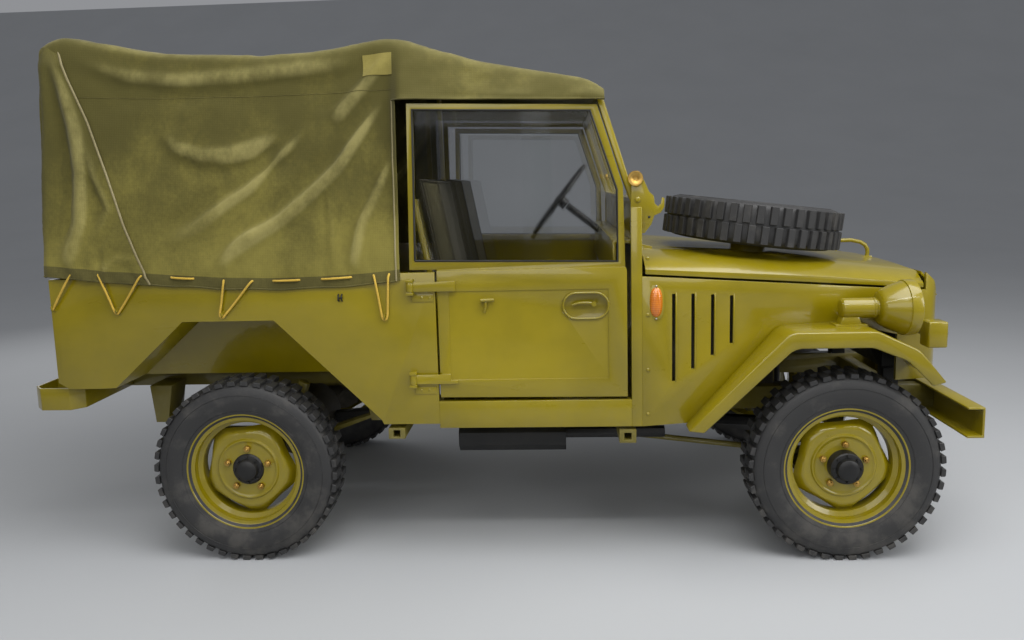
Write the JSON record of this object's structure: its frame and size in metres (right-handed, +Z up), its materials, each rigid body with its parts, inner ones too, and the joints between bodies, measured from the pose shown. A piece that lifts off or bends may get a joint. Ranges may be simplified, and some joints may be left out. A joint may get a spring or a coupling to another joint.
{
  "type": "army 4x4 car with canvas top",
  "caption": "Light military off-road car with a steel tub, doors with sliding windows, canvas top, spare wheel on the bonnet, steering, opening doors, bonnet and tailgate.",
  "frame": {"origin": "on the ground under the middle of the overall length, on the centre plane", "axes": "+X forward, +Y to the car's left, +Z up"},
  "size_m": [3.48, 1.575, 1.985],
  "materials": {
    "olive_paint": "gloss",
    "canvas": "matt",
    "tyre": "matt",
    "glass": "clear",
    "black_metal": "satin",
    "cast_metal": "matt",
    "seat_cloth": "satin",
    "black_plastic": "gloss",
    "amber_lens": "gloss",
    "red_lens": "gloss"
  },
  "bodies": {
    "vehicle": {"chassis_frame": "black_metal", "rear_tub": "olive_paint", "cab_floor": "olive_paint", "scuttle": "olive_paint", "windshield_frame": "olive_paint", "windshield_glass": "glass", "hinge_brackets": "olive_paint", "side_panels": "olive_paint", "front_wings": "olive_paint", "nose": "olive_paint", "radiator": "black_metal", "engine_block": "cast_metal", "transmission": "cast_metal", "propeller_shafts": "black_metal", "exhaust": "black_metal", "front_suspension": "black_metal", "front_drive": "cast_metal", "rear_axle": "cast_metal", "rear_suspension": "black_metal", "steering_column": "black_metal", "canvas_top": "canvas", "canvas_bows": "olive_paint", "seat_frames": "olive_paint", "seat_cushions": "seat_cloth", "bench_cushions": "seat_cloth", "headlamps": "olive_paint", "headlamp_lenses": "glass", "marker_lamps": "olive_paint", "side_repeaters": "amber_lens", "rear_lamps": "red_lens", "front_bumper": "olive_paint", "rear_bumperettes": "olive_paint"},
    "wheel_front_right": {"tyre_front_right": "tyre", "rim_front_right": "olive_paint"},
    "wheel_front_left": {"tyre_front_left": "tyre", "rim_front_left": "olive_paint"},
    "wheel_rear_right": {"tyre_rear_right": "tyre", "rim_rear_right": "olive_paint"},
    "wheel_rear_left": {"tyre_rear_left": "tyre", "rim_rear_left": "olive_paint"},
    "knuckle_left": {"knuckle_left": "cast_metal"},
    "knuckle_right": {"knuckle_right": "cast_metal"},
    "track_rod": {"track_rod": "black_metal"},
    "drop_arm": {"drop_arm": "black_metal"},
    "steering_wheel": {"steering_wheel": "black_plastic"},
    "door_left": {"door_left": "olive_paint", "door_glass_left": "glass"},
    "door_right": {"door_right": "olive_paint", "door_glass_right": "glass"},
    "bonnet": {"bonnet": "olive_paint", "spare_tyre": "tyre", "spare_rim": "olive_paint"},
    "tailgate": {"tailgate": "olive_paint"}
  },
  "joints": [
    {"name": "wheel_front_right_spin", "type": "hinge", "parent": "knuckle_right", "child": "wheel_front_right", "pos_m": [1.26, -0.65, 0.34668], "axis": [0, 1, 0], "continuous": true},
    {"name": "wheel_front_left_spin", "type": "hinge", "parent": "knuckle_left", "child": "wheel_front_left", "pos_m": [1.26, 0.65, 0.34668], "axis": [0, 1, 0], "continuous": true},
    {"name": "wheel_rear_right_spin", "type": "hinge", "parent": "vehicle", "child": "wheel_rear_right", "pos_m": [-0.94, -0.65, 0.34668], "axis": [0, 1, 0], "continuous": true},
    {"name": "wheel_rear_left_spin", "type": "hinge", "parent": "vehicle", "child": "wheel_rear_left", "pos_m": [-0.94, 0.65, 0.34668], "axis": [0, 1, 0], "continuous": true},
    {"name": "knuckle_left_steer", "type": "hinge", "parent": "vehicle", "child": "knuckle_left", "pos_m": [1.26, 0.56, 0.34668], "axis": [0, 0, 1], "range_deg": [-30, 30]},
    {"name": "knuckle_right_steer", "type": "hinge", "parent": "vehicle", "child": "knuckle_right", "pos_m": [1.26, -0.56, 0.34668], "axis": [0, 0, 1], "range_deg": [-30, 30]},
    {"name": "track_rod_eye", "type": "hinge", "parent": "knuckle_left", "child": "track_rod", "pos_m": [1.09, 0.56, 0.38668], "axis": [0, 0, 1], "range_deg": [-30, 30]},
    {"name": "drop_arm_turn", "type": "hinge", "parent": "vehicle", "child": "drop_arm", "pos_m": [1.26, 0.215, 0.40668], "axis": [0, 0, 1], "range_deg": [-30, 30]},
    {"name": "steering_wheel_turn", "type": "hinge", "parent": "vehicle", "child": "steering_wheel", "pos_m": [0.252, 0.375, 1.304], "axis": [0.788, 0, -0.6157], "range_deg": [-450, 450]},
    {"name": "door_left_hinge", "type": "hinge", "parent": "vehicle", "child": "door_left", "pos_m": [-0.285, 0.752, 0.87], "axis": [0, 0, 1], "range_deg": [0, 80]},
    {"name": "door_right_hinge", "type": "hinge", "parent": "vehicle", "child": "door_right", "pos_m": [-0.285, -0.752, 0.87], "axis": [0, 0, -1], "range_deg": [0, 80]},
    {"name": "bonnet_hinge", "type": "hinge", "parent": "vehicle", "child": "bonnet", "pos_m": [0.539, 0, 1.142], "axis": [0, -1, 0], "range_deg": [0, 40]},
    {"name": "tailgate_hinge", "type": "hinge", "parent": "vehicle", "child": "tailgate", "pos_m": [-1.612, 0, 0.699], "axis": [0, -1, 0], "range_deg": [0, 90]}
  ],
  "couplings": [
    {"joint": "knuckle_right_steer", "follows": "knuckle_left_steer", "ratio": 1},
    {"joint": "track_rod_eye", "follows": "knuckle_left_steer", "ratio": -1},
    {"joint": "drop_arm_turn", "follows": "knuckle_left_steer", "ratio": 1},
    {"joint": "steering_wheel_turn", "follows": "knuckle_left_steer", "ratio": -15}
  ]
}
